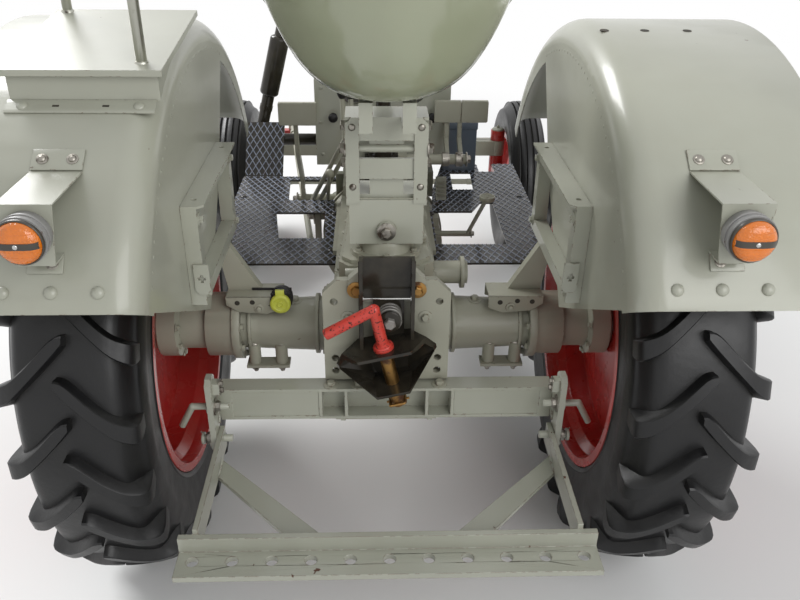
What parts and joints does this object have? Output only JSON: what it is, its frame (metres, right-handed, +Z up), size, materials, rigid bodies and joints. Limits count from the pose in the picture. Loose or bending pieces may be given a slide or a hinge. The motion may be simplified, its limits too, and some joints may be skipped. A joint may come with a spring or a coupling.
{
  "type": "vintage tractor",
  "caption": "Small vintage farm tractor with open platform, pan seat on a sprung frame, wide fenders with a passenger box, drawbar frame and tow hitch; wheels roll and the front wheels steer.",
  "frame": {"origin": "on the ground, at the middle of the outline seen from above", "axes": "+Z up, +Y forward, +X to the tractor's right"},
  "size_m": [1.6, 2.779, 1.6604],
  "materials": {
    "paint": "old grey-green enamel with rust chips",
    "seat_paint": "glossy grey-green enamel",
    "engine_paint": "painted castings, oily",
    "lamp_paint": "dull grey paint",
    "clear_glass": "fluted clear glass",
    "amber_lens": "translucent amber",
    "black_plate": "black gloss paint on diamond-pattern plate",
    "blue_grey_paint": "satin blue-grey paint",
    "black_paint": "semi-gloss black paint",
    "bare_steel": "worn bare steel",
    "red_paint": "deep red gloss enamel",
    "tyre": "glossy dressed black rubber",
    "black_plastic": "black moulding"
  },
  "bodies": {
    "chassis": {"gearbox": "paint", "axle_trumpets": "paint", "engine_block": "engine_paint", "front_bracket": "paint", "front_axle": "paint", "cowl": "paint", "steering_column": "black_paint", "grille": "paint", "headlamps": "lamp_paint", "headlamp_lenses": "clear_glass", "seat_pan": "seat_paint", "seat_frame": "paint", "fender_left": "paint", "fender_right": "paint", "fender_frames": "paint", "passenger_box": "paint", "grab_rail": "bare_steel", "lamp_brackets": "paint", "lamp_bodies": "lamp_paint", "lamp_lenses": "amber_lens", "footplate_left": "black_plate", "footplate_right": "black_plate", "battery_box": "blue_grey_paint", "pedals": "bare_steel", "levers": "bare_steel", "hitch_plate": "paint", "cross_beam": "paint", "beam_hangers": "paint", "drawbar_frame": "paint", "tow_hitch": "black_paint", "hitch_pin": "red_paint", "trailer_socket": "black_plastic", "exhaust": "black_paint"},
    "rear_wheel_left": {"rear_tyre_left": "tyre", "rear_rim_left": "red_paint"},
    "rear_wheel_right": {"rear_tyre_right": "tyre", "rear_rim_right": "red_paint"},
    "knuckle_left": {"knuckle_left": "red_paint"},
    "knuckle_right": {"knuckle_right": "red_paint"},
    "front_wheel_left": {"front_tyre_left": "tyre", "front_rim_left": "red_paint"},
    "front_wheel_right": {"front_tyre_right": "tyre", "front_rim_right": "red_paint"},
    "tie_rod": {"tie_rod": "bare_steel"},
    "drag_link": {"drag_link": "bare_steel"},
    "drop_arm": {"drop_arm": "bare_steel"},
    "steering_wheel": {"steering_wheel": "black_plastic"},
    "bonnet": {"bonnet": "paint"}
  },
  "joints": [
    {"name": "rear_axle_left", "type": "hinge", "parent": "chassis", "child": "rear_wheel_left", "pos_m": [-0.625, -0.6945, 0.604], "axis": [1, 0, 0], "continuous": true},
    {"name": "rear_axle_right", "type": "hinge", "parent": "chassis", "child": "rear_wheel_right", "pos_m": [0.625, -0.6945, 0.604], "axis": [1, 0, 0], "continuous": true},
    {"name": "steer_left", "type": "hinge", "parent": "chassis", "child": "knuckle_left", "pos_m": [-0.545, 1.0255, 0.526], "axis": [0, 0, 1], "range_deg": [-32, 32]},
    {"name": "steer_right", "type": "hinge", "parent": "chassis", "child": "knuckle_right", "pos_m": [0.545, 1.0255, 0.526], "axis": [0, 0, 1], "range_deg": [-32, 32]},
    {"name": "stub_axle_left", "type": "hinge", "parent": "knuckle_left", "child": "front_wheel_left", "pos_m": [-0.645, 1.0255, 0.364], "axis": [1, 0, 0], "continuous": true},
    {"name": "stub_axle_right", "type": "hinge", "parent": "knuckle_right", "child": "front_wheel_right", "pos_m": [0.645, 1.0255, 0.364], "axis": [1, 0, 0], "continuous": true},
    {"name": "tie_rod_ball", "type": "hinge", "parent": "knuckle_left", "child": "tie_rod", "pos_m": [-0.545, 0.8955, 0.403], "axis": [0, 0, 1], "range_deg": [-32, 32]},
    {"name": "drag_link_ball", "type": "hinge", "parent": "knuckle_left", "child": "drag_link", "pos_m": [-0.395, 1.0255, 0.62], "axis": [0, 0, 1], "range_deg": [-32, 32]},
    {"name": "drop_arm_shaft", "type": "hinge", "parent": "chassis", "child": "drop_arm", "pos_m": [-0.208, -0.1345, 0.68], "axis": [1, 0, 0], "range_deg": [-32, 32]},
    {"name": "steering_column", "type": "hinge", "parent": "chassis", "child": "steering_wheel", "pos_m": [0, -0.39331, 1.39548], "axis": [0, -0.3907, 0.9205], "range_deg": [-256, 256]},
    {"name": "bonnet_hinge", "type": "hinge", "parent": "chassis", "child": "bonnet", "pos_m": [0, -0.0415, 1.226], "axis": [1, 0, 0], "range_deg": [0, 55]}
  ],
  "couplings": [
    {"joint": "steer_right", "follows": "steer_left", "ratio": 1},
    {"joint": "tie_rod_ball", "follows": "steer_left", "ratio": -1},
    {"joint": "drag_link_ball", "follows": "steer_left", "ratio": -1},
    {"joint": "drop_arm_shaft", "follows": "steer_left", "ratio": 1},
    {"joint": "steering_column", "follows": "steer_left", "ratio": 8}
  ]
}
